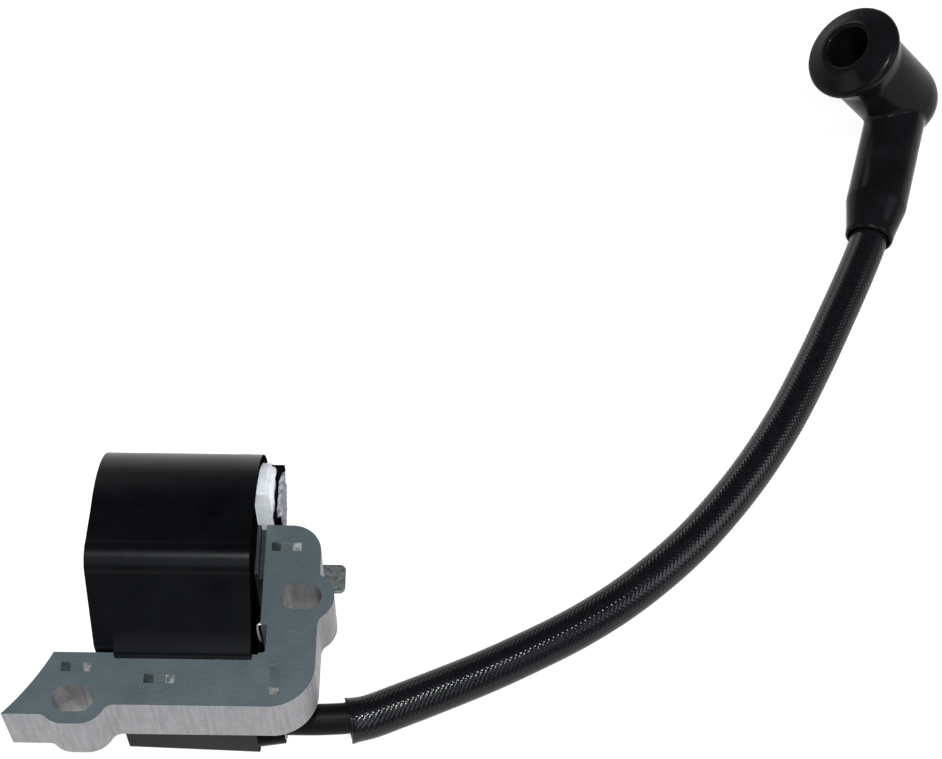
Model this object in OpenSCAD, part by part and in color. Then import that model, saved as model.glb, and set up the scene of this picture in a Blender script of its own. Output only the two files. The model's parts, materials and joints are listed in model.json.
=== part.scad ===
// Ignition coil of a small two-stroke engine: potted coil on a laminated core, with its plug lead and boot.
// The origin is the centre of the yoke's slot, on the face that seats on the engine.
// +X runs along the pole arm away from the flywheel, +Y along the yoke and +Z up through the stack.

/* [Core] */
// Height of the stack of laminations
stack_h = 14; // [12:0.5:14]
// Number of laminations in the stack
plates = 14; // [7:1:14]
// Width of the pole arm, the yoke and the coil's limb
limb_w = 10.8; // [10.2:0.2:10.8]
// Radius of the flywheel that the poles face
pole_r = 50; // [49:0.5:51]
// Width of the two mounting slots
slot_w = 5.3; // [4.4:0.1:5.5]
// End-to-end length of the two mounting slots
slot_l = 8; // [7:0.5:8.5]

/* [Coil] */
// Radius of the coil case
case_r = 22; // [22:0.1:22.4]
// Wall thickness of the coil case
case_wall = 1.6; // [1.2:0.1:1.8]
// Number of winding sections on the secondary bobbin
sections = 8; // [6:1:10]

/* [Lead] */
// Diameter of the spark plug lead
lead_d = 6.2; // [5:0.1:6.2]
// Outer diameter of the braided sleeve
sleeve_d = 8.8; // [8.6:0.1:9]

/* [Boot] */
// Diameter of the hole that grips the spark plug
plug_bore_d = 10.2; // [9.6:0.2:10.6]
// Angle of the boot's barrel from upright, turned about the lead
boot_roll = 34.4; // [0:0.2:60]

/* [Hidden] */
$fn = 64;

// Core
scale_gap = 0.03;
pitch = (stack_h + scale_gap) / plates;
plate_t = pitch - scale_gap;
flywheel = [-91.4, 8.8];
arm_slot = [-41.5, -21.7];
arm_low = -22.9;
arm_high = arm_low + limb_w - 0.2;
tip_low = -25;
yoke_right = 3.5;
yoke_left = yoke_right - limb_w - 0.1;
yoke_top = 15.4;
corner_r = 8.6;
shoulder_r = 5.8;
ear_r = 5.1;
slot_half = (slot_l - slot_w) / 2;
dimple_l = 5.8;
dimple_w = 1.9;
dimple_h = 0.5;
dimples = [[-41.5, -15.3, 0], [-25.7, -17.5, 0], [-4, -17.6, 90], [-3.3, 10.7, 0]];

// Coil, whose axis runs along X through the middle of the limb
coil_y = yoke_top - limb_w / 2;
coil_z = stack_h / 2;
case_x0 = -39.4;
case_x1 = -8.6;
box_x0 = -34.4;
box_y0 = -20.1;
box_r = 2.2;
floor_z = coil_z - case_r;
cavity_x0 = case_x0 + case_wall;
potting_x1 = case_x1 - 0.6;
cheek_x0 = potting_x1 - 0.8;
bobbin_x0 = -36.8;
bobbin_x1 = -11.2;
section_step = (bobbin_x1 - bobbin_x0 - 0.8) / sections;
tower = [-15.4, -9.7];
wire_hole = [-6, 13];
tower_r = 4.7;
tower_x0 = -13.2;
tower_x1 = -3.4;
lead_x0 = -11.8;
board_z = floor_z + 3.6;
lead_out_r = 0.25;
primary_leads = [
    [
        [-37.15, 1, -4], [-37.15, -3.8, -7.6], [-31.9, -3.8, -7.6],
        [-31.9, -8.3, -8.6], [-31.9, -8.3, board_z]
    ],
    [
        [-37.15, 3, -5.6], [-37.15, -0.9, -9.7], [-28.8, -0.9, -9.7],
        [-28.8, -8.3, -9.4], [-28.8, -8.3, board_z]
    ]
];
secondary_lead = [[-13.4, -2.3, -6.7], [-13.6, -5.6, -9.1], [-13.7, tower.x + 0.7, tower.y]];

// Lead: points on its centreline, from the bottom of the tower to the end inside the boot
lead_route = [
    [-11.8, -15.4, -9.7], [-3.4, -15.4, -9.7], [4, -15.3, -9.7], [11, -14.5, -9.9],
    [18, -12.1, -10.3], [27, -8.3, -10.5], [36, -4.2, -10.5], [45, 0.4, -10.5],
    [54.1, 5.5, -10.5], [63.1, 11.6, -10.5], [71.5, 18.6, -10.5], [78.9, 25.9, -10.5],
    [85.5, 33.7, -10.5], [91.3, 41.5, -10.5], [96.4, 49.3, -10.5], [101.1, 57.4, -10.5],
    [105.3, 65.6, -10.5], [109.2, 73.6, -10.4], [112.9, 81.6, -10.1], [116.4, 89.2, -9.7],
    [119.5, 96.2, -9.2], [122.1, 102.8, -8.8], [124.4, 111.5, -8.1], [126.7, 120.2, -7.4],
    [129.9, 132.4, -6.5]
];
sleeve_start = [[9, -15.3, -10.3], [13, -14.3, -10.4], [18, -12.2, -10.5]];
sleeve_joins = 5;
sleeve_last = 22;
tube_sides = 12;

// Boot
boot_end = [122.1, 102.8, -8.8];
boot_yaw = 14.8;
boot_tilt = 4.4;
boot_lean = 10;
leg_l = 40.6;
barrel_r = 9.3;
barrel_h = 26.1;
barrel_shift = -0.4;
plug_depth = 18;
spring_r = 3.1;
spring_wire_r = 0.45;
spring_turns = 6;

// Extrudes a profile drawn in Y and Z from x0 to x1.
module along_x(x0, x1) {
    translate([x0, 0, 0]) rotate([90, 0, 90]) linear_extrude(x1 - x0) children();
}

module rounded_rect(w, h, r) {
    square([w, h - 2 * r], center = true);
    square([w - 2 * r, h], center = true);
    for (x = [-1, 1], y = [-1, 1])
        translate([x * (w / 2 - r), y * (h / 2 - r)]) circle(r);
}

module slot_shape(r) {
    square([2 * slot_half, 2 * r], center = true);
    for (x = [-slot_half, slot_half]) translate([x, 0]) circle(r);
}

// Quarter disc around centre, in the quadrant that the signs give.
module quarter(centre, r, sx, sy) {
    translate(centre) intersection() {
        circle(r);
        translate([min(0, sx) * r, min(0, sy) * r]) square(r);
    }
}

// Blend of radius r between an ear's disc around ear and a straight edge that touches the blend at foot.
module ear_blend(ear, foot, centre, r) {
    difference() {
        polygon([ear, foot, centre]);
        translate(centre) circle(r);
    }
}

// Place along an edge where a blend of radius r meets it, for a disc that stands h out of that edge.
function blend_reach(r, h) = sqrt(pow(ear_r + r, 2) - pow(r + ear_r - h, 2));

module arm_ear() {
    right = arm_slot + [slot_half, 0];
    left = arm_slot - [slot_half, 0];
    low = arm_slot.y - ear_r;
    reach_right = right.x + blend_reach(2.2, arm_low - low);
    reach_left = left.x - blend_reach(1.6, tip_low - low);
    translate(arm_slot) slot_shape(ear_r);
    ear_blend(right, [reach_right, arm_low], [reach_right, arm_low - 2.2], 2.2);
    ear_blend(left, [reach_left, tip_low], [reach_left, tip_low - 1.6], 1.6);
}

module yoke_ear() {
    end = [slot_half, 0];
    out = slot_half + ear_r - yoke_right;
    reach_low = blend_reach(2.4, out);
    reach_high = blend_reach(0.8, out);
    slot_shape(ear_r);
    ear_blend(end, [yoke_right, -reach_low], [yoke_right + 2.4, -reach_low], 2.4);
    ear_blend(end, [yoke_right, reach_high], [yoke_right + 0.8, reach_high], 0.8);
}

// Relief at the inner corner, which takes the ground wire.
module wire_notch() {
    x = yoke_left + 0.6;
    translate([x - 2, -11.9]) square([2, 6]);
    translate([x - 2, -11.2]) square([2.7, 4.6]);
    for (y = [-11.2, -6.6]) translate([x, y]) circle(0.7);
}

module core_outline() {
    corner = [yoke_right - corner_r, arm_low + corner_r];
    shoulder = [yoke_right - shoulder_r, yoke_top - shoulder_r];
    difference() {
        union() {
            translate([-56, arm_low]) square([56 + corner.x, arm_high - arm_low]);
            translate([-56, tip_low]) square([9, 6]);
            quarter(corner, corner_r, 1, -1);
            translate([yoke_left, corner.y]) square([yoke_right - yoke_left, shoulder.y - corner.y]);
            translate([yoke_left, shoulder.y]) square([shoulder.x - yoke_left, shoulder_r]);
            quarter(shoulder, shoulder_r, 1, 1);
            arm_ear();
            yoke_ear();
        }
        translate(flywheel) circle(pole_r, $fn = 128);
        translate(arm_slot) slot_shape(slot_w / 2);
        slot_shape(slot_w / 2);
        wire_notch();
    }
}

module limb_outline(x1) {
    difference() {
        translate([-44, coil_y - limb_w / 2]) square([44 + x1, limb_w]);
        translate(flywheel) circle(pole_r, $fn = 128);
    }
}

// Trough pressed h deep, whose ends slope up to the surface.
module trough(l, w, h) {
    rotate([90, 0, 0]) linear_extrude(w, center = true)
        polygon([[-l / 2, 0], [-l / 5, -h], [l / 5, -h], [l / 2, 0], [l / 2, 1], [-l / 2, 1]]);
}

// One plate, dimpled to lock on to the next one down.
module plate(level, spots) {
    z = level * pitch;
    difference() {
        union() {
            translate([0, 0, z]) linear_extrude(plate_t) children();
            if (level > 0)
                for (s = spots) translate([s.x, s.y, z]) rotate(s.z) intersection() {
                    trough(dimple_l - 0.1, dimple_w - 0.06, dimple_h - 0.05);
                    translate([0, 0, -1]) cube([dimple_l, dimple_w, 2.4], center = true);
                }
        }
        for (s = spots) translate([s.x, s.y, z + plate_t]) rotate(s.z) trough(dimple_l, dimple_w, dimple_h);
    }
}

module core_laminations() {
    color([0.42, 0.48, 0.46])
        for (i = [0 : plates - 1]) plate(i, dimples) core_outline();
}

module limb_laminations() {
    spots = [[-33, coil_y, 0], [-17, coil_y, 0]];
    color([0.36, 0.41, 0.4])
        for (i = [0 : plates - 1]) {
            outer = i < 2 || i > plates - 3;
            plate(i, spots) limb_outline(yoke_left - (outer ? 1.1 : scale_gap));
        }
}

// Round body with a ridge along its upper front. inset moves the outline inwards.
module case_profile(inset) {
    translate([coil_y, coil_z]) circle(case_r - inset, $fn = 96);
    translate([1.6, floor_z + 41.1]) circle(4.4 - inset);
    polygon([
        [coil_y, coil_z], [coil_y + 3.5, coil_z + case_r - 0.5 - inset],
        [2.3, floor_z + 45.3 - inset], [-2.2 + 0.8 * inset, floor_z + 43.1 - 0.6 * inset],
        [-11.9 + inset, floor_z + 30.9], [-11.9 + inset, coil_z]
    ]);
}

// Box under the pole arm, which holds the circuit.
module box_profile(inset) {
    low = floor_z + inset;
    r = box_r - inset;
    translate([box_y0 + box_r, low]) square([coil_y - box_y0 - box_r, -0.2 - inset - low]);
    translate([box_y0 + inset, floor_z + box_r]) square([box_r, -0.2 - inset - floor_z - box_r]);
    translate([box_y0 + box_r, floor_z + box_r]) circle(r);
}

module ledge_profile() {
    top = stack_h + 0.1;
    polygon([
        [-13.5, top], [-13.5, top + 1.7], [-13, top + 2.4],
        [-9.5, top + 4.8], [-6, top + 4.8], [-6, top]
    ]);
}

module coil_case() {
    color([0.08, 0.08, 0.09]) difference() {
        union() {
            along_x(case_x0, case_x1) case_profile(0);
            along_x(box_x0, case_x1) box_profile(0);
            along_x(box_x0, case_x1) ledge_profile();
            along_x(tower_x0, tower_x1) translate(tower) circle(tower_r);
        }
        difference() {
            union() {
                along_x(cavity_x0, case_x1 + 1) case_profile(case_wall);
                along_x(box_x0 + case_wall, case_x1 + 1) box_profile(case_wall);
            }
            along_x(tower_x0, tower_x1) translate(tower) circle(tower_r);
        }
        along_x(case_x0 - 1, cavity_x0 + 1)
            translate([coil_y, coil_z]) square([limb_w + 0.3, stack_h + 0.3], center = true);
        along_x(-13.2, -10.9) translate([coil_y + 19.2, coil_z + 12]) circle(1.1);
        along_x(lead_x0, tower_x1 + 1) translate(tower) circle(lead_d / 2 + 0.08);
        along_x(tower_x1 - 1, tower_x1 + 1) translate(tower) circle(4.1);
        along_x(tower_x0 - 1, lead_x0 + 1) translate(tower) circle(0.8);
    }
}

// Cast filling of the case, with the overflow that stands out behind the yoke.
module potting_compound() {
    overflow_y = yoke_top + 0.4;
    color([0.86, 0.87, 0.85]) difference() {
        union() {
            along_x(cavity_x0, potting_x1) case_profile(case_wall + 0.05);
            along_x(box_x0 + case_wall + 0.05, potting_x1) box_profile(case_wall + 0.05);
            along_x(potting_x1 - 1, case_x1 + 1.6) difference() {
                translate([coil_y, coil_z]) circle(case_r - case_wall - 0.1, $fn = 96);
                translate([-20, -20]) square([20 + overflow_y, 60]);
            }
            translate([case_x1 + 1, overflow_y, 8]) cube([4.4, 6, 2]);
            translate([case_x1 + 3.6, overflow_y, 7]) cube([1.8, 11.8, 11]);
        }
        along_x(cavity_x0 - 1, bobbin_x1 + 0.25)
            translate([coil_y, coil_z]) rounded_rect(31.2, 34.2, 9.6);
        along_x(bobbin_x1 - 1, case_x1 + 2)
            translate([coil_y, coil_z]) square([limb_w + 0.1, stack_h + 0.1], center = true);
        translate([box_x0 + 2, box_y0 + 2.2, floor_z + 2]) cube([18.2, 10.6, 12]);
        along_x(tower_x0 - 0.05, 0) translate(tower) circle(tower_r + 0.05);
        along_x(-15, 0) translate(tower) circle(0.75);
        translate([-10.7, 9.1, -3.45]) cube([4, 6.4, 0.9]);
        translate([bobbin_x1 - 1, 23.9, 14.9]) cube([6.9, 3.4, 2.4]);
        along_x(cheek_x0 - 0.05, case_x1) cheek_outline(0.05);
        cheek_ribs(0.05);
        along_x(cheek_x0 - 0.6, 0) translate(wire_hole) circle(0.4);
        for (p = primary_leads) wire(p, lead_out_r + 0.05);
        wire(secondary_lead, lead_out_r + 0.05);
    }
}

module primary_bobbin() {
    color([0.75, 0.72, 0.62]) translate([0, coil_y, coil_z]) difference() {
        union() {
            along_x(-37.4, bobbin_x1 + 0.2) rounded_rect(limb_w + 2.4, stack_h + 2.4, 1.2);
            for (x = [-37.4, bobbin_x1 - 0.8]) along_x(x, x + 1) rounded_rect(17.6, 20.8, 2.5);
        }
        along_x(-38, 0) square([limb_w + 0.4, stack_h + 0.4], center = true);
    }
}

module primary_winding() {
    color([0.72, 0.38, 0.16]) translate([0, coil_y, coil_z]) difference() {
        along_x(-36.3, bobbin_x1 - 0.9) rounded_rect(17.2, 20.4, 2.4);
        along_x(-38, 0) rounded_rect(limb_w + 2.44, stack_h + 2.44, 1.2);
    }
}

// Outline of the bobbin's cheek, which closes the case's mouth around the limb. gap makes it larger.
module cheek_outline(gap) {
    intersection() {
        case_profile(case_wall + 0.25 - gap);
        translate([-20, -1.6 - gap]) square([35.2 + gap, 40]);
    }
}

// Ribs that join the cheek to the bobbin's last flange.
module cheek_ribs(gap) {
    for (p = [[-3, 17.5], [-4.8, 3]])
        translate([bobbin_x1 - 0.5, p.x - gap, p.y - gap])
            cube([cheek_x0 + 0.6 - bobbin_x1, 2 + 2 * gap, 2.5 + 2 * gap]);
}

// Sectioned bobbin, with its cheek and the lug that shows through the potting.
module secondary_bobbin() {
    color([0.1, 0.1, 0.11]) {
        translate([0, coil_y, coil_z]) difference() {
            union() {
                along_x(bobbin_x0, bobbin_x1) rounded_rect(20.4, 23.6, 3.8);
                for (i = [0 : sections])
                    along_x(bobbin_x0 + i * section_step, bobbin_x0 + i * section_step + 0.8)
                        rounded_rect(31, 34, 9.5);
            }
            along_x(-38, 0) rounded_rect(18, 21.2, 2.6);
        }
        translate([bobbin_x1 - 0.5, 24, 15]) cube([6.3, 3.2, 2.2]);
        cheek_ribs(0);
        difference() {
            along_x(cheek_x0, potting_x1) cheek_outline(0);
            along_x(cheek_x0 - 1, 0)
                translate([coil_y, coil_z]) square([limb_w + 0.1, stack_h + 0.1], center = true);
            along_x(cheek_x0 - 1, 0) translate(wire_hole) circle(0.4);
        }
    }
}

module secondary_winding() {
    color([0.6, 0.3, 0.12]) translate([0, coil_y, coil_z])
        for (i = [0 : sections - 1]) {
            x = bobbin_x0 + i * section_step + 0.85;
            difference() {
                along_x(x, x + section_step - 0.9) rounded_rect(29, 32, 8.6);
                along_x(x - 1, x + 5) rounded_rect(20.44, 23.64, 3.8);
            }
        }
}

// Round wire of radius r through the points.
module wire(points, r) {
    for (i = [0 : len(points) - 2]) {
        step = points[i + 1] - points[i];
        translate(points[i]) rotate([0, acos(step.z / norm(step)), atan2(step.y, step.x)])
            cylinder(h = norm(step), r = r, $fn = 48);
    }
    for (i = [1 : len(points) - 2]) translate(points[i]) sphere(1.06 * r, $fn = 48);
}

module primary_lead_wires() {
    color([0.75, 0.4, 0.18])
        for (p = primary_leads) wire(p, lead_out_r);
}

module secondary_lead_wire() {
    color([0.75, 0.4, 0.18]) wire(secondary_lead, lead_out_r);
}

module circuit_board() {
    color([0.2, 0.35, 0.2]) translate([-32.2, -17.6, board_z - 1.2]) cube([17, 9.6, 1.2]);
}

// Body of the transistor that switches the primary, on its metal tab, with three legs.
module power_transistor() {
    color([0.12, 0.12, 0.13]) translate([-31.6, -17.2, board_z]) {
        translate([0, 1.2, 1.6]) cube([7.6, 3.2, 7]);
        translate([0.4, 0.7, 1.6]) cube([6.8, 0.5, 8]);
        for (x = [1.4, 3.8, 6.2]) translate([x, 2.8, 0]) cylinder(h = 1.6, r = 0.35);
    }
}

module trigger_transistor() {
    color([0.12, 0.12, 0.13]) translate([-21.5, -15.6, board_z]) {
        translate([0, 0, 1.4]) intersection() {
            cylinder(h = 4.6, r = 2.3);
            translate([-3, -1.2, 0]) cube([6, 4, 5]);
        }
        for (x = [-1.27, 0, 1.27]) translate([x, 0, 0]) cylinder(h = 1.4, r = 0.25);
    }
}

// Axial part along Y with bent legs.
module axial_part(l, r) {
    rotate([-90, 0, 0]) translate([0, 0, -l / 2]) cylinder(h = l, r = r);
    for (y = [-1, 1]) {
        translate([0, y * (l / 2 + 0.4), 0]) rotate([90, 0, 0]) cylinder(h = 0.9, r = 0.25, center = true);
        translate([0, y * (l / 2 + 0.6), -r - 0.3]) cylinder(h = r + 0.3, r = 0.25);
        translate([0, y * (l / 2 + 0.6), 0]) sphere(0.25);
    }
}

module board_resistors() {
    color([0.78, 0.68, 0.5])
        for (x = [-18.2, -16.2]) translate([x, -13, board_z + 1.2]) axial_part(5, 0.9);
}

module board_diodes() {
    color([0.15, 0.15, 0.16])
        for (x = [-30.4, -27.2]) translate([x, -10.4, board_z + 1.5]) axial_part(3, 1.2);
}

module timing_capacitor() {
    color([0.65, 0.3, 0.12]) translate([-23.4, -11, board_z]) {
        translate([-2.4, -1.3, 0.6]) cube([6.1, 2.6, 5.6]);
        for (x = [-1, 2.6]) translate([x, 0, 0]) cylinder(h = 0.6, r = 0.3);
    }
}

// Blade for the stop switch's lead, under the yoke.
module kill_terminal() {
    tip = 7.4;
    color([0.45, 0.46, 0.45]) translate([0, 0, -3.4]) linear_extrude(0.8) {
        translate([-10.6, 9.2]) square([tip - 1.2 + 10.6, 6.2]);
        translate([tip - 1.3, 10.4]) square([1.3, 3.8]);
        for (y = [10.4, 14.2]) translate([tip - 1.2, y]) circle(1.2);
    }
}

// Bare wire from the potting into the notch, where it earths the coil on the core.
module ground_wire() {
    path = [
        [cheek_x0 - 0.5, wire_hole.x, wire_hole.y], [-8.4, wire_hole.x, wire_hole.y],
        [-7.4, -9, 13.5], [-6.7, -10.4, 12.4], [-6.6, -10.7, 2.5]
    ];
    color([0.8, 0.78, 0.74]) wire(path, 0.3);
}

// Pin in the bottom of the tower, which enters the lead's conductor.
module lead_spike() {
    color([0.8, 0.7, 0.4]) along_x(-14.2, -6.5) translate(tower) circle(0.7);
}

module lead_seal() {
    color([0.6, 0.6, 0.6]) along_x(tower_x1 - 1, tower_x1 + 0.2) translate(tower) difference() {
        circle(4.05);
        circle(lead_d / 2 + 0.05);
    }
}

function unit(v) = v / norm(v);
function heading(p, i) = unit(p[min(i + 1, len(p) - 1)] - p[max(i - 1, 0)]);

// Ring of points of radius r square to a route at its point i.
function ring(p, i, r) =
    let (t = heading(p, i), side = unit(cross(t, [0, 0, 1])), up = cross(side, t), turn = 360 / tube_sides)
    [for (k = [0 : tube_sides - 1]) p[i] + r * (cos(k * turn) * side + sin(k * turn) * up)];

function flat_list(lists) = [for (l = lists) for (p = l) p];

// Side faces between the rings that start at base, turned over for an inner wall.
function wall_faces(rings, base, inner) = [
    for (i = [0 : rings - 2], k = [0 : tube_sides - 1])
        let (a = base + i * tube_sides + k, b = base + i * tube_sides + (k + 1) % tube_sides)
        inner ? [a, a + tube_sides, b + tube_sides, b] : [a, b, b + tube_sides, a + tube_sides]
];

// Solid rod of radius r along the route.
module rod(p, r) {
    n = len(p);
    last = (n - 1) * tube_sides;
    polyhedron(
        flat_list([for (i = [0 : n - 1]) ring(p, i, r)]),
        concat(
            wall_faces(n, 0, false),
            [[for (k = [tube_sides - 1 : -1 : 0]) k]],
            [[for (k = [0 : tube_sides - 1]) last + k]]
        )
    );
}

// Hollow tube of outer radius r and inner radius bore along the route.
module tube(p, r, bore) {
    n = len(p);
    inner = n * tube_sides;
    last = (n - 1) * tube_sides;
    polyhedron(
        flat_list(concat([for (i = [0 : n - 1]) ring(p, i, r)], [for (i = [0 : n - 1]) ring(p, i, bore)])),
        concat(
            wall_faces(n, 0, false),
            wall_faces(n, inner, true),
            [for (k = [0 : tube_sides - 1])
                let (m = (k + 1) % tube_sides) [k, inner + k, inner + m, m]],
            [for (k = [0 : tube_sides - 1])
                let (m = (k + 1) % tube_sides) [last + k, last + m, inner + last + m, inner + last + k]]
        )
    );
}

module lead_jacket() {
    color([0.1, 0.1, 0.11]) tube(lead_route, lead_d / 2, 0.95);
}

module lead_conductor() {
    route = concat([[-6.4, tower.x, tower.y]], [for (i = [1 : len(lead_route) - 1]) lead_route[i]]);
    color([0.7, 0.45, 0.25]) rod(route, 0.88);
}

module braided_sleeve() {
    color([0.14, 0.14, 0.15])
        tube(
            concat(sleeve_start, [for (i = [sleeve_joins : sleeve_last]) lead_route[i]]),
            sleeve_d / 2, sleeve_d / 2 - 0.6
        );
}

// Places a child whose +Y runs along the boot's leg from the end where the lead goes in.
module boot_frame() {
    translate(boot_end) rotate([0, 0, -boot_yaw]) rotate([boot_tilt, 0, 0]) rotate([0, -boot_roll, 0])
        children();
}

// Places a child whose +Z runs up the boot's barrel from the elbow.
module barrel_frame() {
    boot_frame() translate([barrel_shift, leg_l, 0]) rotate([boot_lean, 0, 0]) children();
}

module plug_boot() {
    bottom = barrel_h - plug_depth;
    color([0.07, 0.07, 0.07]) difference() {
        union() {
            boot_frame() rotate([-90, 0, 0]) rotate_extrude()
                polygon([
                    [0, 0], [5.1, 0], [5.4, 0.4], [5.6, 2.8], [6.9, 9.5], [6.9, leg_l], [0, leg_l]
                ]);
            barrel_frame() sphere(barrel_r - 0.1);
            barrel_frame() rotate_extrude() polygon([
                [0, 0], [barrel_r, 0], [barrel_r, 17.5], [9.8, 19.5], [10.9, 21.4], [11.4, 22.3],
                [11.4, 23.3], [10.8, 24], [6.6, 25.9], [5.9, barrel_h], [0, barrel_h]
            ]);
        }
        barrel_frame() translate([0, 0, bottom]) cylinder(h = barrel_h, d = plug_bore_d);
        barrel_frame() translate([0, 0, -3.5]) cylinder(h = barrel_h, r = 4);
        boot_frame() rotate([-90, 0, 0]) translate([0, 0, -1]) cylinder(h = 13, r = sleeve_d / 2 + 0.3);
        boot_frame() rotate([-90, 0, 0]) translate([0, 0, -1]) cylinder(h = 32.2, r = lead_d / 2 + 0.1);
        boot_frame() rotate([-90, 0, 0]) cylinder(h = leg_l - 2, r = 1.2);
    }
}

// Wire spring that grips the plug's nut, with a straight leg to the lead's conductor.
module terminal_spring() {
    steps = 16;
    count = spring_turns * steps;
    helix = [for (i = [0 : count])
        [spring_r * cos(i * 360 / steps), spring_r * sin(i * 360 / steps), -2.4 + i * 10 / count]];
    color([0.75, 0.75, 0.73]) {
        barrel_frame() rod_about_z(helix, spring_wire_r);
        boot_frame() rotate([-90, 0, 0]) translate([0, 0, 31]) cylinder(h = leg_l - 31 - spring_r, r = 0.7);
    }
}

// Rod of 8 sides along a helix about Z.
module rod_about_z(p, r) {
    n = len(p);
    sides = 8;
    last = (n - 1) * sides;
    rings = [for (q = p)
        let (out = unit([q.x, q.y, 0]))
        for (k = [0 : sides - 1]) q + r * (cos(k * 360 / sides) * out + sin(k * 360 / sides) * [0, 0, 1])];
    polyhedron(rings, concat(
        [for (i = [0 : n - 2], k = [0 : sides - 1])
            let (a = i * sides + k, b = i * sides + (k + 1) % sides) [a, b, b + sides, a + sides]],
        [[for (k = [sides - 1 : -1 : 0]) k]],
        [[for (k = [0 : sides - 1]) last + k]]
    ));
}

core_laminations();
limb_laminations();
coil_case();
potting_compound();
primary_bobbin();
primary_winding();
secondary_bobbin();
secondary_winding();
primary_lead_wires();
secondary_lead_wire();
circuit_board();
power_transistor();
trigger_transistor();
board_resistors();
board_diodes();
timing_capacitor();
kill_terminal();
ground_wire();
lead_spike();
lead_seal();
lead_jacket();
lead_conductor();
braided_sleeve();
plug_boot();
terminal_spring();
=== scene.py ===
"""Ignition coil on its laminated core, with the braided lead and the right-angle plug boot."""

import json
import math

import bmesh
import bpy
from mathutils import Matrix, Vector, noise


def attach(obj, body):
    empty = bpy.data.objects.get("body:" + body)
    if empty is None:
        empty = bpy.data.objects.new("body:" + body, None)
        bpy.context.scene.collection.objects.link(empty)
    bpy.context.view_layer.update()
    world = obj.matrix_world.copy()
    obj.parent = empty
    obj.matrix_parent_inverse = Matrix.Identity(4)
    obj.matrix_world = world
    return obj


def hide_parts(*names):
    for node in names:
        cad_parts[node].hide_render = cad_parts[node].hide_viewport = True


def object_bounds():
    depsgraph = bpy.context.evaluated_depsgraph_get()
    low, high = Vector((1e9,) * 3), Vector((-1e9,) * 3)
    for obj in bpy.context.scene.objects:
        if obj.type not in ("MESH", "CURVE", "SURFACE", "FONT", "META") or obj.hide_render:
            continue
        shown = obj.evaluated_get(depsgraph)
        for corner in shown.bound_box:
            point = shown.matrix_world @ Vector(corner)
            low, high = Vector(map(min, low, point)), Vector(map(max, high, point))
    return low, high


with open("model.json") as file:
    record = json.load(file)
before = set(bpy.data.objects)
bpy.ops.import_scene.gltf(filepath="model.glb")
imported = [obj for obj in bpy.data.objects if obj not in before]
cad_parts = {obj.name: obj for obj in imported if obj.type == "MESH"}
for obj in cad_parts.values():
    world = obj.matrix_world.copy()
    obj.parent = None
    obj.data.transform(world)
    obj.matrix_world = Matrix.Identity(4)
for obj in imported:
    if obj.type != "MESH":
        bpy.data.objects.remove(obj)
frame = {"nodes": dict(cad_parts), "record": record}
cad_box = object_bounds()
COIL, BOOT = "coil", "boot"
FLOOR_Z = cad_box[0].z

# The lead's centreline, from the bottom of the tower on the case to its end inside the boot.
LEAD_ROUTE = [
    (-0.0118, -0.0154, -0.0097), (-0.0034, -0.0154, -0.0097), (0.004, -0.0153, -0.0097),
    (0.011, -0.0145, -0.0099), (0.018, -0.0121, -0.0103), (0.027, -0.0083, -0.0105),
    (0.036, -0.0042, -0.0105), (0.045, 0.0004, -0.0105), (0.0541, 0.0055, -0.0105),
    (0.0631, 0.0116, -0.0105), (0.0715, 0.0186, -0.0105), (0.0789, 0.0259, -0.0105),
    (0.0855, 0.0337, -0.0105), (0.0913, 0.0415, -0.0105), (0.0964, 0.0493, -0.0105),
    (0.1011, 0.0574, -0.0105), (0.1053, 0.0656, -0.0105), (0.1092, 0.0736, -0.0104),
    (0.1129, 0.0816, -0.0101), (0.1164, 0.0892, -0.0097), (0.1195, 0.0962, -0.0092),
    (0.1221, 0.1028, -0.0088), (0.1244, 0.1115, -0.0081), (0.1267, 0.1202, -0.0074),
    (0.1299, 0.1324, -0.0065),
]
LEAD_R = 0.0031
SLEEVE_START = [
    (0.009, -0.0153, -0.0103), (0.013, -0.0143, -0.0104), (0.018, -0.0122, -0.0105),
]
SLEEVE_ROUTE = SLEEVE_START + LEAD_ROUTE[5:23]
SLEEVE_R = (0.0044, 0.0042)
SLEEVE_WALL = 0.0006
BOOT_MOUTH = Vector((0.12136, 0.1405, 0.00843))
BOOT_AXIS = Vector((-0.59808, -0.08554, 0.79686))
BOOT_RIM = (0.0036, 0.007)  # inner and outer radius of the ring that is blended at the mouth
BOOT_RIM_DEPTH = 0.003
WIRE_R = 0.00024
GROUND_WIRE = [
    (-0.0064, -0.0053, 0.0132), (-0.0069, -0.0056, 0.0135), (-0.0074, -0.0058, 0.0137),
    (-0.0079, -0.006, 0.0136), (-0.008, -0.0063, 0.0131), (-0.0079, -0.0069, 0.0122),
    (-0.0076, -0.0076, 0.011), (-0.0074, -0.008, 0.0098), (-0.0071, -0.0088, 0.007),
    (-0.0066, -0.0105, 0.0025),
]
BOX_FRONT_Y, BOX_LEFT_X, BOX_LENGTH, BOX_TAPER = -0.0178, -0.0344, 0.0258, 0.0008
CASE_FRONT_Y, CASE_END_X, CASE_DRAFT = -0.0025, -0.036, 0.0011 / 0.0094
RESIN_EDGE_Y = 0.0154  # the filling is painted black below it
FIN_X, FIN_CORE_X = -0.0051, (-0.00495, -0.0047)


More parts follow.
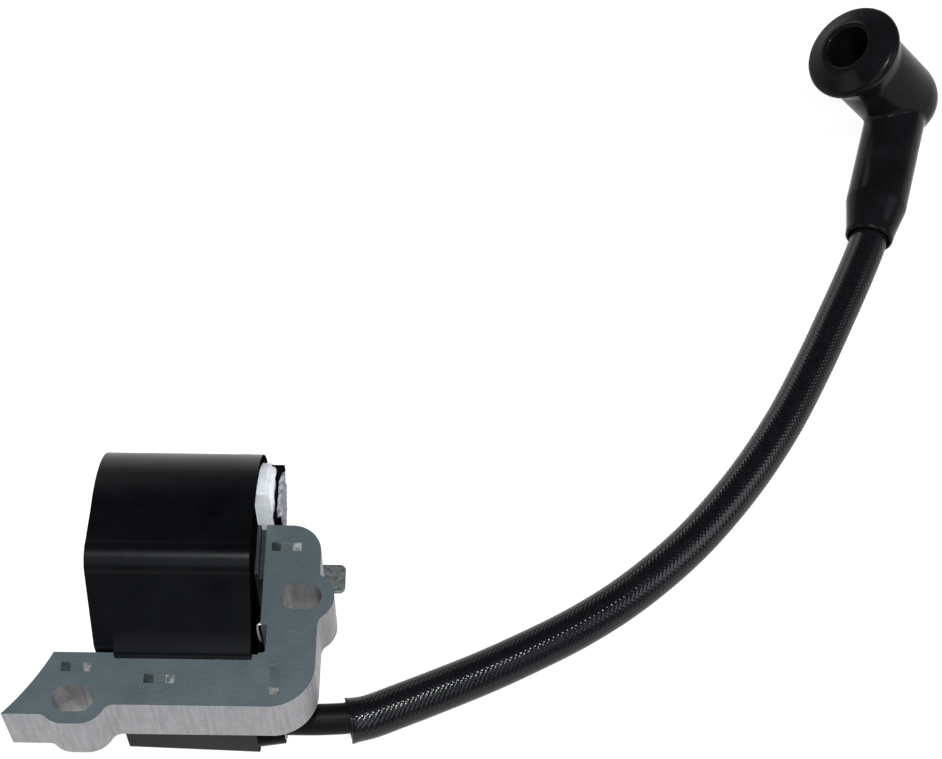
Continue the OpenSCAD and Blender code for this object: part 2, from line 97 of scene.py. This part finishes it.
def make_camera():
    """The photograph's view: an 81 mm lens, 58 degrees above the table, rolled by 0.87 degrees."""
    elevation, roll, turn = math.radians(58), math.radians(0.873), math.radians(-0.1)
    right = Vector((1, 0, 0))
    up = Vector((0, math.sin(elevation), math.cos(elevation)))
    ahead = Vector((0, math.cos(elevation), -math.sin(elevation)))
    x = right * math.cos(roll) + up * math.sin(roll)
    y = up * math.cos(roll) - right * math.sin(roll)
    axes = Matrix((x, y, -ahead)).transposed()
    data = bpy.data.cameras.new("camera")
    data.lens, data.sensor_width = 81.0, 36.0
    data.clip_start, data.clip_end = 0.01, 10
    camera = bpy.data.objects.new("camera", data)
    camera.matrix_world = Matrix.Translation((0.0318, -0.1803, 0.3821)) @ (
        Matrix.Rotation(turn, 3, "Z") @ axes
    ).to_4x4()
    bpy.context.scene.collection.objects.link(camera)
    bpy.context.scene.camera = camera


# Meshes and curves


def add_object(name, data):
    made = bpy.data.objects.new(name, data)
    bpy.context.scene.collection.objects.link(made)
    return made


def add_mesh(name, points, faces, sharp_angle=35):
    mesh = bpy.data.meshes.new(name)
    mesh.from_pydata([tuple(p) for p in points], [], faces)
    mesh.validate()
    bm = bmesh.new()
    bm.from_mesh(mesh)
    bmesh.ops.recalc_face_normals(bm, faces=bm.faces)
    bm.to_mesh(mesh)
    bm.free()
    mesh.polygons.foreach_set("use_smooth", [True] * len(mesh.polygons))
    mesh.set_sharp_from_angle(angle=math.radians(sharp_angle))
    return add_object(name, mesh)


def place(piece, body, slot, *nodes):
    """The piece rides on the body and stands for the CAD nodes, which are hidden; the slot is not
    used.
    """
    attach(piece, body)
    if nodes:
        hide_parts(*nodes)
    return piece


def smooth_path(points, steps):
    """The points with steps - 1 more between each two, on a Catmull-Rom curve through them."""
    p = [Vector(q) for q in points]
    p = [p[0] * 2 - p[1], *p, p[-1] * 2 - p[-2]]
    found = []
    for a, b, c, d in zip(p, p[1:], p[2:], p[3:]):
        for i in range(steps):
            t = i / steps
            square, cube = a * 2 - b * 5 + c * 4 - d, b * 3 - a - c * 3 + d
            found.append((b * 2 + (c - a) * t + square * t**2 + cube * t**3) / 2)
    return [*found, p[-2]]


def path_length(path):
    return sum((b - a).length for a, b in zip(path, path[1:]))


def resample(path, step):
    """Points an equal distance of about step apart along the path."""
    count = max(2, round(path_length(path) / step))
    step = path_length(path) / count
    found, due, gone = [path[0]], step, 0.0
    for a, b in zip(path, path[1:]):
        length = (b - a).length
        while due <= gone + length and len(found) < count:
            found.append(a.lerp(b, (due - gone) / length))
            due += step
        gone += length
    return [*found, path[-1]]


def heading(path, i):
    return (path[min(i + 1, len(path) - 1)] - path[max(i - 1, 0)]).normalized()


def across(path, i):
    """The sideways and upward directions square to the path at its point i."""
    ahead = heading(path, i)
    side = ahead.cross(Vector((0, 0, 1))).normalized()
    return side, side.cross(ahead)


def tube_curve(name, path, radius):
    curve = bpy.data.curves.new(name, "CURVE")
    curve.dimensions = "3D"
    curve.bevel_depth, curve.bevel_resolution = 1.0, 6
    curve.use_fill_caps = True
    spline = curve.splines.new("POLY")
    spline.points.add(len(path) - 1)
    for point, q in zip(spline.points, path):
        point.co, point.radius = (*q, 1), radius
    return add_object(name, curve)


def strip_faces(rows, width, closed=True):
    """Four-sided faces of a grid of rows, each width points long and, if closed, a ring."""
    last = width if closed else width - 1
    faces = []
    for start in range(0, (rows - 1) * width, width):
        for k in range(last):
            m = (k + 1) % width
            faces.append((start + k, start + m, start + width + m, start + width + k))
    return faces


def keep_tops_flat(mesh):
    """Marks every edge between a level face and one that isn't as sharp."""
    bm = bmesh.new()
    bm.from_mesh(mesh)
    for edge in bm.edges:
        level = [abs(face.normal.z) > 0.9999 for face in edge.link_faces]
        if any(level) and not all(level):
            edge.smooth = False
    bm.to_mesh(mesh)
    bm.free()


def cut_at_y(mesh, y):
    """Gives the mesh edges where the plane at y crosses it."""
    bm = bmesh.new()
    bm.from_mesh(mesh)
    everything = bm.verts[:] + bm.edges[:] + bm.faces[:]
    bmesh.ops.bisect_plane(bm, geom=everything, plane_co=(0, y, 0), plane_no=(0, 1, 0))
    bm.to_mesh(mesh)
    bm.free()


def softened(node, width, sharp, flat_tops):
    """A copy of a CAD node with its edges rounded. It shades flat at edges over sharp degrees."""
    mesh = frame["nodes"][node].data.copy()
    bm = bmesh.new()
    bm.from_mesh(mesh)
    bmesh.ops.remove_doubles(bm, verts=bm.verts, dist=1e-6)
    flat = math.radians(0.5)
    bmesh.ops.dissolve_limit(bm, angle_limit=flat, verts=bm.verts, edges=bm.edges)
    bm.to_mesh(mesh)
    bm.free()
    made = add_object(node + "_finished", mesh)
    mesh.polygons.foreach_set("use_smooth", [True] * len(mesh.polygons))
    mesh.set_sharp_from_angle(angle=math.radians(sharp))
    if flat_tops:
        keep_tops_flat(mesh)
    bevel = made.modifiers.new("edges", "BEVEL")
    bevel.width, bevel.segments = width, 2
    bevel.limit_method, bevel.angle_limit = "ANGLE", math.radians(35)
    weighted = made.modifiers.new("shading", "WEIGHTED_NORMAL")
    weighted.keep_sharp, weighted.weight = True, 100
    return made


# Materials


class Shader:
    """A material with one Principled shader. Sockets are named by keyword, with _ for a space."""

    def __init__(self, name, **constants):
        self.material = bpy.data.materials.new(name)
        self.material.use_nodes = True
        self.tree = self.material.node_tree
        self.surface = self.tree.nodes["Principled BSDF"]
        for socket, value in constants.items():
            self.surface.inputs[socket.replace("_", " ")].default_value = value
        self.place = self.add("TexCoord").outputs["Object"]

    def add(self, kind, inputs=None, **settings):
        made = self.tree.nodes.new("ShaderNode" + kind)
        for key, value in settings.items():
            setattr(made, key, value)
        for key, value in (inputs or {}).items():
            if isinstance(value, bpy.types.NodeSocket):
                self.tree.links.new(value, made.inputs[key])
            else:
                made.inputs[key].default_value = value
        return made

    def noise(self, size, detail=4, stretch=(1, 1, 1), roughness=0.55):
        """Noise whose features are size metres wide, times stretch along each axis."""
        scale = [1 / (size * s) for s in stretch]
        moved = self.add("Mapping", {"Vector": self.place, "Scale": scale}).outputs[0]
        settings = {"Vector": moved, "Scale": 1.0, "Detail": detail, "Roughness": roughness}
        return self.add("TexNoise", settings).outputs["Fac"]

    def ramp(self, fac, *stops):
        """A colour ramp from (place, colour) stops. A colour may be one grey value."""
        made = self.add("ValToRGB", {"Fac": fac})
        while len(made.color_ramp.elements) < len(stops):
            made.color_ramp.elements.new(0.5)
        for element, (spot, colour) in zip(made.color_ramp.elements, stops):
            element.position = spot
            element.color = (*(colour if isinstance(colour, tuple) else (colour,) * 3), 1)
        return made.outputs["Color"]

    def mix(self, fac, a, b):
        made = self.add("Mix", data_type="RGBA")
        for socket, value in ((made.inputs[0], fac), (made.inputs[6], a), (made.inputs[7], b)):
            self.tree.links.new(value, socket)
        return made.outputs[2]

    def colour(self, value):
        self.tree.links.new(value, self.surface.inputs["Base Color"])

    def roughness(self, value):
        self.tree.links.new(value, self.surface.inputs["Roughness"])

    def bump(self, height, depth):
        """Relief of depth metres."""
        made = self.add("Bump", {"Height": height, "Distance": depth, "Strength": 1.0})
        self.tree.links.new(made.outputs[0], self.surface.inputs["Normal"])

    def facing_up(self, low=0.55, high=0.9):
        """1 on faces that look up or down, 0 on upright ones, between low and high in part."""
        normal = self.add("TexCoord").outputs["Normal"]
        z = self.add("SeparateXYZ", {"Vector": normal}).outputs["Z"]
        size = self.add("Math", {0: z}, operation="ABSOLUTE").outputs[0]
        return self.add("MapRange", {"Value": size, "From Min": low, "From Max": high}).outputs[0]


def core_steel():
    """Stamped steel: dull grey-green faces, and bright sheared edges with upright streaks."""
    s = Shader("core_steel", Metallic=0.6)
    face = s.ramp(s.noise(0.006, 6), (0.3, (0.069, 0.09, 0.096)), (0.7, (0.086, 0.11, 0.115)))
    streak = s.noise(0.0007, 5, (1, 1, 14))
    edge = s.ramp(streak, (0.2, (0.19, 0.186, 0.19)), (0.8, (0.335, 0.327, 0.335)))
    up = s.facing_up()
    s.colour(s.mix(up, edge, face))
    scratch = s.ramp(s.noise(0.0004, 3, (18, 1, 1)), (0.3, 0.45), (0.7, 0.55))
    sheared = s.ramp(s.noise(0.002), (0.3, 0.45), (0.7, 0.6))
    s.roughness(s.mix(up, sheared, scratch))
    s.bump(s.noise(0.0008, 3, (1, 1, 8)), 0.00004)
    return s.material


def struck_steel(name, low, high, rough):
    """One copy of the steel for the slopes where the plates are struck to lock together; the
    copies carry painted shade and painted highlight.
    """
    s = Shader(name, Metallic=0.7)
    tone = s.noise(0.0012, 4)
    s.colour(s.ramp(tone, (0.3, low), (0.7, high)))
    s.roughness(s.ramp(tone, (0.3, rough), (0.7, rough + 0.1)))
    s.bump(s.noise(0.0004, 3), 0.00004)
    return s.material


def darkened_limb_steel():
    """The limb's plates, coloured much darker than the core's."""
    s = Shader("darkened_limb_steel", Metallic=0.5)
    tone = s.noise(0.002, 5)
    s.colour(s.ramp(tone, (0.3, (0.012, 0.015, 0.016)), (0.7, (0.026, 0.031, 0.033))))
    s.roughness(s.ramp(tone, (0.3, 0.45), (0.7, 0.6)))
    s.bump(s.noise(0.0008, 3), 0.00003)
    return s.material


def case_plastic(name="case_plastic", shine=0.095):
    """Moulded black plastic, satin, with faint smudges and scuffs."""
    s = Shader(name, Specular_IOR_Level=shine)
    smudge = s.noise(0.012, 6, roughness=0.65)
    clean, scuffed = (0.0009, 0.001, 0.0013), (0.0024, 0.0026, 0.0033)
    s.colour(s.ramp(smudge, (0.35, clean), (0.8, scuffed)))
    s.roughness(s.ramp(smudge, (0.3, 0.26), (0.75, 0.4)))
    s.bump(s.noise(0.0006, 4), 0.000015)
    return s.material


def white_resin():
    """White cast resin, with painted shade greying the rim that faces up."""
    s = Shader("white_resin", Specular_IOR_Level=0.3)
    tone = s.noise(0.003, 5)
    face = s.ramp(tone, (0.3, (0.82, 0.85, 0.88)), (0.6, (0.93, 0.94, 0.95)))
    # painted shade: the rim that faces up is greyer than the face
    rim = s.ramp(tone, (0.3, (0.48, 0.52, 0.56)), (0.6, (0.64, 0.66, 0.68)))
    s.colour(s.mix(s.facing_up(0.1, 0.6), face, rim))
    s.roughness(s.ramp(s.noise(0.0015), (0.3, 0.35), (0.7, 0.6)))
    s.bump(s.noise(0.0012, 5), 0.00012)
    return s.material


def torn_resin():
    """Grey broken edge of the cast resin, with upright streaks."""
    s = Shader("torn_resin", Specular_IOR_Level=0.3)
    streak = s.noise(0.0008, 5, (1, 1, 4))
    dark, grey, pale = (0.06, 0.058, 0.07), (0.19, 0.187, 0.215), (0.42, 0.42, 0.46)
    s.colour(s.ramp(streak, (0.3, dark), (0.5, grey), (0.72, pale)))
    s.roughness(s.ramp(streak, (0.3, 0.5), (0.7, 0.7)))
    s.bump(streak, 0.0003)
    return s.material


def rubber(name, grey, rough, size, depth, shine):
    """Black rubber with a fine skin of that size and depth."""
    s = Shader(name, Specular_IOR_Level=shine)
    tone = s.noise(0.008, 5)
    low, high = (grey, grey, grey * 1.08), (grey * 1.8, grey * 1.8, grey * 2)
    s.colour(s.ramp(tone, (0.3, low), (0.7, high)))
    s.roughness(s.ramp(tone, (0.3, rough), (0.7, rough + 0.12)))
    s.bump(s.noise(size, 4), depth)
    return s.material


def braid():
    """Black glossy filaments. The strands themselves are in the mesh."""
    s = Shader("sleeve_braid", Specular_IOR_Level=0.22)
    tone = s.noise(0.0006, 3)
    s.colour(s.ramp(tone, (0.3, (0.002, 0.002, 0.0025)), (0.7, (0.006, 0.006, 0.007))))
    s.roughness(s.ramp(s.noise(0.004), (0.3, 0.14), (0.7, 0.2)))
    return s.material


def bare_wire():
    """Drawn wire, bright where it is bare, and coloured black low in the notch."""
    s = Shader("bare_wire", Metallic=0.95)
    tone = s.noise(0.003, 5)
    bright = s.ramp(tone, (0.3, (0.8, 0.78, 0.76)), (0.7, (0.95, 0.93, 0.91)))
    black_low = s.ramp(tone, (0.3, 0.002), (0.7, 0.01))
    y = s.add("SeparateXYZ", {"Vector": s.place}).outputs["Y"]
    bare = s.add("MapRange", {"Value": y, "From Min": -0.0081, "From Max": -0.0078}).outputs[0]
    s.colour(s.mix(bare, black_low, bright))
    s.roughness(s.ramp(tone, (0.3, 0.45), (0.7, 0.6)))
    s.bump(s.noise(0.0015, 4), 0.00003)
    return s.material


def metal(name, low, high, rough, size=0.001, depth=0.00003):
    """Bare metal whose colour and roughness vary in patches of that size."""
    s = Shader(name, Metallic=0.95)
    tone = s.noise(size, 5)
    s.colour(s.ramp(tone, (0.3, low), (0.7, high)))
    s.roughness(s.ramp(tone, (0.3, rough), (0.7, rough + 0.15)))
    s.bump(s.noise(size / 2, 4), depth)
    return s.material


def windings():
    """Enamelled copper wire in turns about the coil's axis."""
    s = Shader("winding_copper", Metallic=0.8, Coat_Weight=0.4)
    settings = {"Vector": s.place, "Scale": 900.0, "Distortion": 0.3}
    turns = s.add("TexWave", settings, bands_direction="X").outputs["Fac"]
    s.colour(s.ramp(turns, (0.0, (0.16, 0.05, 0.015)), (0.7, (0.55, 0.22, 0.07))))
    s.roughness(s.ramp(s.noise(0.002), (0.3, 0.25), (0.7, 0.4)))
    s.bump(turns, 0.00005)
    return s.material


def plastic(name, low, high, rough, shine=0.5):
    """Moulded plastic whose colour and roughness vary a little."""
    s = Shader(name, Specular_IOR_Level=shine)
    tone = s.noise(0.002, 5)
    s.colour(s.ramp(tone, (0.3, low), (0.7, high)))
    s.roughness(s.ramp(tone, (0.3, rough), (0.7, rough + 0.15)))
    s.bump(s.noise(0.0004, 4), 0.00002)
    return s.material


def banded_resistor():
    """Tan body with dark bands around it."""
    s = Shader("resistor_body", Coat_Weight=0.3)
    settings = {"Vector": s.place, "Scale": 210.0}
    bands = s.add("TexWave", settings, bands_direction="Y").outputs["Fac"]
    s.colour(s.ramp(bands, (0.2, (0.1, 0.05, 0.03)), (0.4, (0.6, 0.45, 0.28))))
    s.roughness(s.ramp(s.noise(0.001), (0.3, 0.35), (0.7, 0.5)))
    return s.material


MATERIALS = {
    "core_steel": core_steel(),
    "case_plastic": case_plastic(),
    "potting": white_resin(),
    "bobbin_plastic": plastic(
        "bobbin_plastic", (0.0015, 0.0015, 0.0018), (0.004, 0.004, 0.0046), 0.5, 0.0
    ),
    "winding_copper": windings(),
    "board_laminate": plastic("board_laminate", (0.02, 0.09, 0.03), (0.04, 0.14, 0.05), 0.35),
    "component_body": plastic(
        "component_body", (0.01, 0.01, 0.011), (0.025, 0.025, 0.027), 0.5
    ),
    "resistor_body": banded_resistor(),
    "capacitor_body": plastic("capacitor_body", (0.3, 0.06, 0.01), (0.42, 0.1, 0.02), 0.25),
    "tinned_steel": metal(
        "tinned_steel", (0.085, 0.094, 0.093), (0.21, 0.22, 0.217), 0.4, 0.0008
    ),
    "bare_wire": bare_wire(),
    "brass": metal("brass", (0.55, 0.4, 0.15), (0.75, 0.58, 0.28), 0.25),
    "seal_rubber": plastic("seal_rubber", (0.2, 0.2, 0.205), (0.32, 0.32, 0.33), 0.5),
    "lead_rubber": rubber("lead_rubber", 0.003, 0.4, 0.0008, 0.00003, 0.06),
    "lead_copper": metal("lead_copper", (0.5, 0.2, 0.08), (0.75, 0.36, 0.18), 0.3),
    "sleeve_braid": braid(),
    "boot_rubber": rubber("boot_rubber", 0.0032, 0.18, 0.0015, 0.000012, 0.055),
    "spring_wire": metal("spring_wire", (0.45, 0.45, 0.44), (0.65, 0.65, 0.63), 0.25),
}


LIMB_STEEL = darkened_limb_steel()
CASE_LOW = case_plastic("case_low", 0.03)
DULL_BLACK = MATERIALS["bobbin_plastic"]
# Lit and shaded copies of the struck steel: painted shade and painted highlight on the struck
# slopes.
STRUCK_PAINTED_SHADE = struck_steel("struck_painted_shade", (0.012, 0.016, 0.017), (0.04, 0.05, 0.052), 0.5)
STRUCK_PAINTED_HIGHLIGHT = struck_steel("struck_painted_highlight", (0.12, 0.13, 0.13), (0.6, 0.6, 0.58), 0.35)
TORN_RESIN = torn_resin()


def paint(piece, slot):
    piece.data.materials.clear()
    piece.data.materials.append(MATERIALS[slot])


# Pieces


def make_sleeve(strands=26, samples=4, relief=0.00016):
    """Braided tube, a grid on the strands' crossings. Each strand goes over and under others."""
    step = math.tau * SLEEVE_R[0] / strands / samples
    path = resample(smooth_path(SLEEVE_ROUTE, 6), step)
    around, rows = strands * samples, len(path)
    points = []
    for i, centre in enumerate(path):
        side, up = across(path, i)
        t = i / (rows - 1)
        from_cut = i * (path[1] - path[0]).length
        radius = SLEEVE_R[0] * (1 - t) + SLEEVE_R[1] * t + 0.0003 * math.exp(-from_cut / 0.0009)
        ragged = 0.0004 * math.exp(-from_cut / 0.0006)
        for k in range(around):
            a, b = (k + i) / samples, (k - i) / samples
            over = (1 if round(a) % 2 == 0 else -1) * math.cos(math.pi * b)
            under = (-1 if round(b) % 2 == 0 else 1) * math.cos(math.pi * a)
            crown_a = math.sqrt(max(0.0, 1 - (2 * (a - round(a))) ** 2))
            crown_b = math.sqrt(max(0.0, 1 - (2 * (b - round(b))) ** 2))
            height = max(0.5 * over + crown_a, 0.5 * under + crown_b) - 1.5
            angle = math.tau * k / around
            out = side * math.cos(angle) + up * math.sin(angle)
            shake = noise.noise(Vector((k * 0.9, i * 0.3, 0))) * ragged
            points.append(centre + out * (radius + relief * height) - heading(path, i) * shake)
    faces = strip_faces(rows, around)
    inner = list(range(0, rows - 1, 24)) + [rows - 1]
    first = len(points)
    for i in inner:
        side, up = across(path, i)
        t = i / (rows - 1)
        radius = SLEEVE_R[0] * (1 - t) + SLEEVE_R[1] * t - SLEEVE_WALL
        for k in range(around):
            angle = math.tau * k / around
            points.append(path[i] + (side * math.cos(angle) + up * math.sin(angle)) * radius)
    faces += [tuple(first + v for v in reversed(f)) for f in strip_faces(len(inner), around)]
    last_out, last_in = (rows - 1) * around, first + (len(inner) - 1) * around
    for k in range(around):
        m = (k + 1) % around
        faces.append((k, first + k, first + m, m))
        faces.append((last_out + k, last_out + m, last_in + m, last_in + k))
    return add_mesh("sleeve_braided", points, faces, 180)


def make_boot(voxel=0.0004, rounds=6, mouth_rounds=50):
    """The boot with its corners blended, as moulded rubber has them, and its mouth most of all."""
    made = add_object("boot_moulded", frame["nodes"]["plug_boot"].data.copy())
    remesh = made.modifiers.new("skin", "REMESH")
    remesh.mode, remesh.voxel_size, remesh.use_smooth_shade = "VOXEL", voxel, True
    smooth = made.modifiers.new("blend", "SMOOTH")
    smooth.factor, smooth.iterations = 0.5, rounds
    finished = made.evaluated_get(bpy.context.evaluated_depsgraph_get())
    whole = bpy.data.meshes.new_from_object(finished)
    made.modifiers.clear()
    made.data = whole
    bm = bmesh.new()
    bm.from_mesh(whole)
    rim = []
    for v in bm.verts:
        along = (v.co - BOOT_MOUTH).dot(BOOT_AXIS)
        radius = (v.co - BOOT_MOUTH - BOOT_AXIS * along).length
        if abs(along) < BOOT_RIM_DEPTH and BOOT_RIM[0] < radius < BOOT_RIM[1]:
            rim.append(v)
    axes = dict(use_axis_x=True, use_axis_y=True, use_axis_z=True)
    for _ in range(mouth_rounds):
        bmesh.ops.smooth_vert(bm, verts=rim, factor=0.5, **axes)
    bm.to_mesh(whole)
    bm.free()
    bpy.context.view_layer.update()
    return made


def draw_case(mesh):
    """Tapers the circuit box, wider at the tower, and the closed end, shorter at the front."""
    cut_at_y(mesh, CASE_FRONT_Y)
    for v in mesh.vertices:
        if v.co.y < BOX_FRONT_Y and v.co.z < -0.0001 and v.co.x < -0.0085:
            v.co.y -= BOX_TAPER * (v.co.x - BOX_LEFT_X) / BOX_LENGTH
        if v.co.x < CASE_END_X and v.co.y < CASE_FRONT_Y:
            v.co.x += CASE_DRAFT * (CASE_FRONT_Y - v.co.y)
    mesh.materials.append(CASE_LOW)
    mesh.materials.append(DULL_BLACK)
    for face in mesh.polygons:
        if face.normal.x > 0.7:
            face.material_index = 2
        elif face.normal.y < -0.7 and face.center.z < 0:
            face.material_index = 1


def wedge_lug(mesh):
    """Tapers the lug that shows through the potting: wide at its upper end, narrow below."""
    lug_x, lug_low_y, lug_high_y = -0.0056, 0.0239, 0.0272
    for v in mesh.vertices:
        if v.co.x > lug_x and v.co.y > lug_low_y:
            v.co.x += 0.001 * (v.co.y - lug_low_y) / (lug_high_y - lug_low_y)


def paint_struck_light(mesh):
    """The slopes struck into the core: painted shade where they fall right or forward, painted
    highlight on the others.
    """
    mesh.materials.append(STRUCK_PAINTED_SHADE)
    mesh.materials.append(STRUCK_PAINTED_HIGHLIGHT)
    for face in mesh.polygons:
        if 0.9 < face.normal.z < 0.98:
            # painted shade on slopes that fall right or forward, painted highlight on the rest
            face.material_index = 1 if face.normal.x > 0.2 or face.normal.y < -0.2 else 2


RESHAPE = {
    "coil_case": draw_case, "secondary_bobbin": wedge_lug, "core_laminations": paint_struck_light,
}


def make_filling():
    """The cast filling, painted black under the yoke, and black as painted shade where it reaches
    past the resin's face into the crack behind the fin. Its fin is thinned to a core for the torn
    one.
    """
    mesh = frame["nodes"]["potting_compound"].data.copy()
    cut_at_y(mesh, RESIN_EDGE_Y)
    for v in mesh.vertices:
        if v.co.x > FIN_X and v.co.y > 0.0157:
            v.co.x = FIN_CORE_X[v.co.x > -0.0033]
            v.co.y = min(v.co.y, 0.0252)
            v.co.z = min(max(v.co.z, 0.0079), 0.0156)
    mesh.materials.clear()
    mesh.materials.append(MATERIALS["potting"])
    mesh.materials.append(DULL_BLACK)
    for face in mesh.polygons:
        # black below the edge, and painted shade on the faces past the resin's face, in the crack
        if face.center.x > -0.0069 or face.center.y < RESIN_EDGE_Y:
            face.material_index = 1
    return add_object("filling_finished", mesh)


def ragged_block(name, low, high, cells, amount, size):
    """A block with uneven faces and ends that narrow in Y, such as a lump of cast resin."""
    points, index, faces = [], {}, []
    nx, ny, nz = cells

    def corner(i, j, k):
        if (i, j, k) not in index:
            t = Vector((i / nx, j / ny, k / nz))
            p = Vector([a + (b - a) * f for a, b, f in zip(low, high, t)])
            near_end = 1 - min(1, 4 * t.y * (1 - t.y))
            for f, axis in ((t.x, 0), (t.y, 1), (t.z, 2)):
                p[axis] += (0.5 - f) * (high[axis] - low[axis]) * 0.12 * near_end
            fine = noise.noise_vector(p / size * 3) * amount * 0.4
            p += noise.noise_vector(p / size) * amount + fine
            index[i, j, k] = len(points)
            points.append(p)
        return index[i, j, k]

    def sheet(fixed, at, m, n):
        others = [a for a in range(3) if a != fixed]
        for u in range(m):
            for v in range(n):
                quad = []
                for du, dv in ((0, 0), (1, 0), (1, 1), (0, 1)):
                    spot = [0, 0, 0]
                    spot[fixed] = at
                    spot[others[0]], spot[others[1]] = u + du, v + dv
                    quad.append(corner(*spot))
                faces.append(tuple(quad))

    for at in (0, nx):
        sheet(0, at, ny, nz)
    for at in (0, ny):
        sheet(1, at, nx, nz)
    for at in (0, nz):
        sheet(2, at, nx, ny)
    return add_mesh(name, points, faces, 50)


def make_overflow(columns=48, rows=22):
    """The resin's domed, uneven front behind the yoke: a cap whose rim sits in the case."""
    centre_y, centre_z, radius = 0.01, 0.007, 0.0203
    y_low, y_high, back = 0.01555, 0.0299, -0.0095
    points = []
    for side in (0, 1):
        for j in range(rows + 1):
            y = y_low + (y_high - y_low) * j / rows
            half = math.sqrt(radius**2 - (y - centre_y) ** 2)
            for k in range(columns + 1):
                t = 2 * k / columns - 1
                z = centre_z + t * half
                if side:
                    points.append((back, y, z))
                    continue
                inside = min(1, (radius - math.hypot(y - centre_y, z - centre_z)) / 0.001)
                rise = 0.0005 + 0.0024 * inside * inside * (3 - 2 * inside)
                lumps = noise.noise(Vector((y, z, 0)) / 0.0022) * 0.0003
                grain = noise.noise(Vector((y, z, 5)) / 0.0008) * 0.00008
                points.append((-0.009 + rise + (lumps + grain) * inside, y, z))
    width = columns + 1
    layer = width * (rows + 1)
    front = strip_faces(rows + 1, width, closed=False)
    faces = front + [tuple(layer + v for v in reversed(f)) for f in front]
    rim = (
        list(range(columns))
        + [columns + j * width for j in range(rows)]
        + [rows * width + k for k in range(columns, 0, -1)]
        + [j * width for j in range(rows, 0, -1)]
    )
    for a, b in zip(rim, rim[1:] + rim[:1]):
        faces.append((b, a, layer + a, layer + b))
    return add_mesh("resin_overflow", points, faces, 60)


make_camera()

lead_path = smooth_path(LEAD_ROUTE, 4)
lead = place(tube_curve("lead_cable", lead_path, LEAD_R), COIL, "lead_rubber", "lead_jacket")
paint(lead, "lead_rubber")
sleeve = place(make_sleeve(), COIL, "sleeve_braid", "braided_sleeve")
paint(sleeve, "sleeve_braid")
boot = place(make_boot(), BOOT, "boot_rubber", "plug_boot")
paint(boot, "boot_rubber")

wire = tube_curve("earth_wire", smooth_path(GROUND_WIRE, 5), WIRE_R)
paint(place(wire, COIL, "bare_wire", "ground_wire"), "bare_wire")
slots = {part["node"]: part["material_slot"] for part in frame["record"]["subparts"]}
for node, width, sharp in (
    ("coil_case", 0.0005, 35),
    ("core_laminations", 0.00014, 16),
    ("limb_laminations", 0.00009, 16),
    ("kill_terminal", 0.00015, 35),
    ("lead_seal", 0.0002, 35),
    ("secondary_bobbin", 0.00015, 35),
):
    slot = slots[node]
    finished = softened(node, width, sharp, node.endswith("laminations"))
    paint(place(finished, COIL, slot, node), slot)
    if node in RESHAPE:
        RESHAPE[node](finished.data)
    if node == "limb_laminations":
        finished.data.materials[0] = LIMB_STEEL

place(make_filling(), COIL, "potting", "potting_compound")
overflow = place(make_overflow(), COIL, "potting")
paint(overflow, "potting")
low, high = (-0.0053, 0.0157, 0.0069), (-0.0044, 0.0266, 0.0169)
fin = ragged_block("resin_fin", low, high, (4, 40, 36), 0.0003, 0.0024)
place(fin, COIL, "potting").data.materials.append(TORN_RESIN)
# A dark block set in the crack between the fin and the resin face, as painted shade.
low, high = (-0.0067, 0.0156, 0.0074), (-0.0048, 0.0262, 0.0158)
crack_shade = ragged_block("crack_shade_block", low, high, (5, 30, 24), 0.00025, 0.0018)
paint(place(crack_shade, COIL, "potting"), "bobbin_plastic")

for name, slot in slots.items():
    if not frame["nodes"][name].hide_render:
        paint(frame["nodes"][name], slot)


# Studio


def softbox(name, towards, away, size, power):
    """A square light, away metres from the object in that direction and turned to it."""
    data = bpy.data.lights.new(name, "AREA")
    data.shape, data.size, data.energy = "SQUARE", size, power
    data.color = (0.94, 0.975, 1)
    made = add_object(name, data)
    made.location = TARGET + Vector(towards).normalized() * away
    made.rotation_mode = "QUATERNION"
    made.rotation_quaternion = (TARGET - made.location).to_track_quat("-Z", "Y")


TARGET = Vector((0.03, 0.05, 0))
scene = bpy.context.scene
scene.view_settings.view_transform = "Standard"
softbox("lamp", (0.03, -0.21, 0.97), 1.2, 0.09, 13)
softbox("front", (0.08, -0.7, 0.68), 1.4, 0.9, 7.5)
softbox("back", (-0.4, 0.8, 0.3), 1.3, 0.35, 1.8)
softbox("left", (-0.9, -0.35, 0.5), 1.2, 0.6, 3)
softbox("right", (0.85, -0.2, 0.6), 1.2, 0.6, 5)
world = bpy.data.worlds.new("studio")
scene.world = world
world.use_nodes = True
tree = world.node_tree
direction = tree.nodes.new("ShaderNodeSeparateXYZ")
height = tree.nodes.new("ShaderNodeMapRange")
for socket, value in (("From Min", 0.1), ("From Max", 0.6), ("To Min", 0.33), ("To Max", 0.07)):
    height.inputs[socket].default_value = value
tree.links.new(tree.nodes.new("ShaderNodeTexCoord").outputs["Generated"], direction.inputs[0])
tree.links.new(direction.outputs["Z"], height.inputs["Value"])
tree.links.new(height.outputs[0], tree.nodes["Background"].inputs["Strength"])
tree.nodes["Background"].inputs["Color"].default_value = (0.9, 0.96, 1, 1)

floor_mesh = bpy.data.meshes.new("floor")
corners = [(x, y, FLOOR_Z) for x, y in ((-2, -2), (2, -2), (2, 2), (-2, 2))]
floor_mesh.from_pydata(corners, [], [(0, 1, 2, 3)])
floor = add_object("floor", floor_mesh)
floor_look = Shader(
    "floor", Roughness=0.9, Emission_Color=(1, 1, 1, 1), Emission_Strength=0.92
)
floor_look.colour(floor_look.ramp(floor_look.noise(0.3), (0.3, 0.19), (0.7, 0.21)))
floor_mesh.materials.append(floor_look.material)

bpy.context.view_layer.update()
